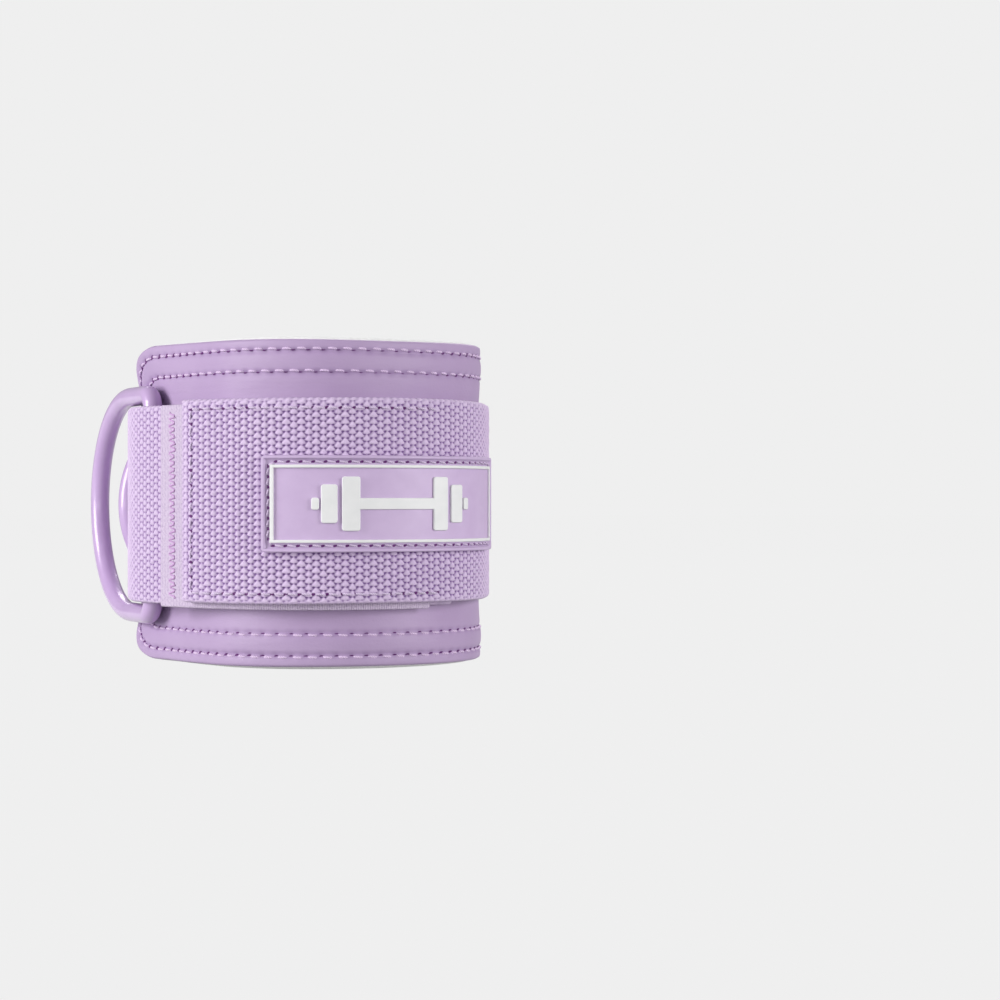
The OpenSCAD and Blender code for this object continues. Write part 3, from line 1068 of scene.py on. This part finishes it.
def bead(mesh, path, width, height, base):
    """A raised line with rounded shoulders along a closed path of (s, z) points, mitred at its corners."""
    ahead = np.roll(path, -1, 0) - path
    ahead /= np.hypot(*ahead.T)[:, None]
    behind = np.roll(ahead, 1, 0)
    mitre = 1 + np.sum(ahead * behind, 1)[:, None]
    side = (np.stack([-ahead[:, 1], ahead[:, 0]], 1) + np.stack([-behind[:, 1], behind[:, 0]], 1)) / mitre
    across = np.array([-0.5, -0.5, -0.44, -0.3, 0, 0.3, 0.44, 0.5, 0.5]) * width
    rise = np.array([-0.1, 0.78, 0.95, 1.0, 1.0, 1.0, 0.95, 0.78, -0.1]) * height
    s = path[:, :1] + side[:, :1] * across
    z = path[:, 1:] + side[:, 1:] * across
    flats = np.stack([s, z, np.zeros(s.shape)], -1)
    numbers = mesh.grid(place(s, base(s) + rise, z), flats, 0.0)
    numbers = np.concatenate([numbers, numbers[:1]], 0)
    mesh.quads(np.concatenate([numbers, numbers[:, :1]], 1))


def build_label():
    box = (LABEL_START, LABEL_END, LABEL_LOW, LABEL_HIGH)
    plate = Mesh()
    low = lambda s: tail_top(s) - 0.15
    slab(plate, box, low, plate_top, 0.9, 0.12, (0.8, 0.9), (0.14, 3.4), plate_relief)
    plate.make("label_plate", "label", "tail", ["label_base"], "label")

    along, up = (inset + FRAME_W / 2 for inset in FRAME_INSET)
    line = rectangle(LABEL_START + along, LABEL_END - along, LABEL_LOW + up, LABEL_HIGH - up, 0.7)
    border = Mesh()
    bead(border, line, FRAME_W, RELIEF_T, plate_top)
    border.make("label_border", "white", "tail", ["label_frame"], "label_white")

    emblem = Mesh()
    top = lambda s: plate_top(s) + RELIEF_T
    low = lambda s: plate_top(s) - 0.05
    half = EMBLEM[0][0] - EMBLEM[0][1] + HANDLE_OVERLAP
    blocks = [(0, half, HANDLE_HALF, HANDLE_CORNER)]
    blocks += [(side * middle, w, h, EMBLEM_CORNER) for side in (-1, 1) for middle, w, h in EMBLEM]
    for middle, w, h, corner in blocks:
        box = (EMBLEM_MIDDLE + middle - w, EMBLEM_MIDDLE + middle + w, LABEL_MID - h, LABEL_MID + h)
        slab(emblem, box, low, top, min(corner, w * 0.7, h * 0.7), 0.22, (0.6, 0.6), (0.07, 0.6))
    emblem.make("label_dumbbell", "white", "tail", ["label_emblem"], "label_white")

    along, up = LABEL_THREAD_INSET
    box = (LABEL_START + along, LABEL_END - along, LABEL_LOW + up, LABEL_HIGH - up)
    path = outline(*box, 0.3, LABEL_PITCH)
    thread, eyes = Mesh(), Mesh()
    stitches(thread, path, label_surface, radius=0.24, slant=0.2, high=0.28, reach=0.3)
    holes(eyes, path[:-1], label_surface, radius=(0.5, 0.32), lift=0.02)
    thread.make("label_thread", "strap_thread", "tail", ["label_stitch"], "thread")
    eyes.make("label_holes", "hole", "tail", (), "thread", smooth_shading=False)


# ---------------------------------------------------------------- floor, light and camera

BACKGROUND = 0.863
AMBIENT = 0.31
FLOOR_HALF = 6.0
FLOOR_GLOW = 0.86
FLOOR_SHADE = 0.004
LIGHT_TARGET = (0, 0, 0.04)
# Each light's place in metres, its two sides in metres and its power in watts.
LIGHTS = {
    "key": ((-1.0, -0.45, 0.30), (0.6, 0.6), 12.5),
    "fill": ((1.0, -0.50, 0.25), (0.5, 0.6), 8.5),
    "back": ((0.1, 0.9, 0.8), (0.9, 0.5), 7.0),
    "low": ((-0.2, -0.9, 0.05), (1.2, 0.1), 1.0),
}
CAMERA_PLACE = (0.0513, -0.620, 0.0415)
SENSOR = 36
LENS = 84.3


def build_floor():
    """A pale floor that glows as bright as the background, so that no edge shows between them."""
    data = bpy.data.meshes.new("floor")
    corners = [(x * FLOOR_HALF, y * FLOOR_HALF, 0) for x, y in ((-1, -1), (1, -1), (1, 1), (-1, 1))]
    data.from_pydata(corners, [], [(0, 1, 2, 3)])
    floor = bpy.data.objects.new("floor", data)
    bpy.context.scene.collection.objects.link(floor)
    n = Nodes("pale_floor", Roughness=1.0, Specular_IOR_Level=0.0)
    n.shader.inputs["Emission Color"].default_value = rgb(1, 1, 1)
    n.shader.inputs["Emission Strength"].default_value = FLOOR_GLOW
    n.finish(rgb(FLOOR_SHADE, FLOOR_SHADE, FLOOR_SHADE))
    floor.visible_diffuse = False
    data.materials.append(n.material)


def area_light(name, location, size, power):
    data = bpy.data.lights.new(name, "AREA")
    data.shape = "RECTANGLE"
    data.size, data.size_y = size
    data.energy = power
    light = bpy.data.objects.new(name, data)
    light.location = location
    light.visible_camera = False
    direction = Vector(LIGHT_TARGET) - light.location
    light.rotation_euler = direction.to_track_quat("-Z", "Y").to_euler()
    bpy.context.scene.collection.objects.link(light)


def build_world():
    """A pale background for the camera and a dimmer, even light for the object."""
    world = bpy.data.worlds.new("studio")
    bpy.context.scene.world = world
    world.use_nodes = True
    tree = world.node_tree
    seen = tree.nodes["Background"]
    seen.inputs["Strength"].default_value = BACKGROUND
    lit = tree.nodes.new("ShaderNodeBackground")
    lit.inputs["Strength"].default_value = AMBIENT
    for background in (seen, lit):
        background.inputs["Color"].default_value = rgb(1, 1, 1)
    path = tree.nodes.new("ShaderNodeLightPath")
    mix = tree.nodes.new("ShaderNodeMixShader")
    tree.links.new(path.outputs["Is Camera Ray"], mix.inputs[0])
    tree.links.new(lit.outputs[0], mix.inputs[1])
    tree.links.new(seen.outputs[0], mix.inputs[2])
    tree.links.new(mix.outputs[0], tree.nodes["World Output"].inputs["Surface"])
    bpy.context.scene.view_settings.view_transform = "Standard"


def build_camera():
    data = bpy.data.cameras.new("camera")
    data.sensor_width = SENSOR
    data.lens = LENS
    data.clip_start = 0.01
    camera = bpy.data.objects.new("camera", data)
    camera.location = CAMERA_PLACE
    camera.rotation_euler = (math.pi / 2, 0, 0)
    bpy.context.scene.collection.objects.link(camera)
    bpy.context.scene.camera = camera


build_pad()
build_edge_stitches()
build_webbing()
build_tapes()
build_zigzag()
build_hem_stitches()
build_anchor_stitches()
build_ring("ring_front", FRONT_BAR, FRONT_ANGLE, "ring_front", "d_ring_front")
build_ring("ring_rear", REAR_BAR, REAR_ANGLE, "ring_rear", "d_ring_rear")
build_label()
build_floor()
build_world()
build_camera()
for light_name, settings in LIGHTS.items():
    area_light(light_name, *settings)
